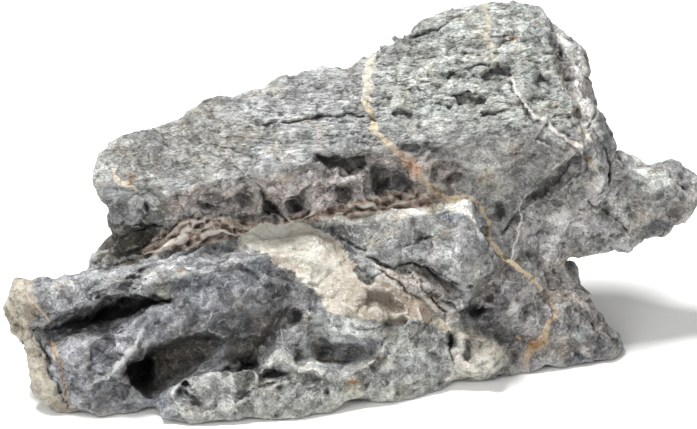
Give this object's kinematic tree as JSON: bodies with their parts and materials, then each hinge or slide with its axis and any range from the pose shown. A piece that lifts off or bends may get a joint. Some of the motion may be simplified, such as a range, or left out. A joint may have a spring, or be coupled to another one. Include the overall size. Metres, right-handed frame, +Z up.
{
  "type": "seiryu rock",
  "caption": "Layered grey limestone aquascaping stone: an overhanging upper slab over a pitted lower slab, with an arm and a foot at one end, resting on flat pads.",
  "frame": {"origin": "on the floor plane, under the middle of the stone's outer box", "axes": "+X along the stone's length towards its arm and foot, +Y from its front face to its back, +Z up"},
  "size_m": [0.3524, 0.1672, 0.1649],
  "materials": {
    "limestone": "weathered blue-grey limestone, matt, with cream and rust calcite veins and a pale calcite patch"
  },
  "bodies": {
    "root": {"seiryu_rock": "limestone"}
  },
  "joints": []
}
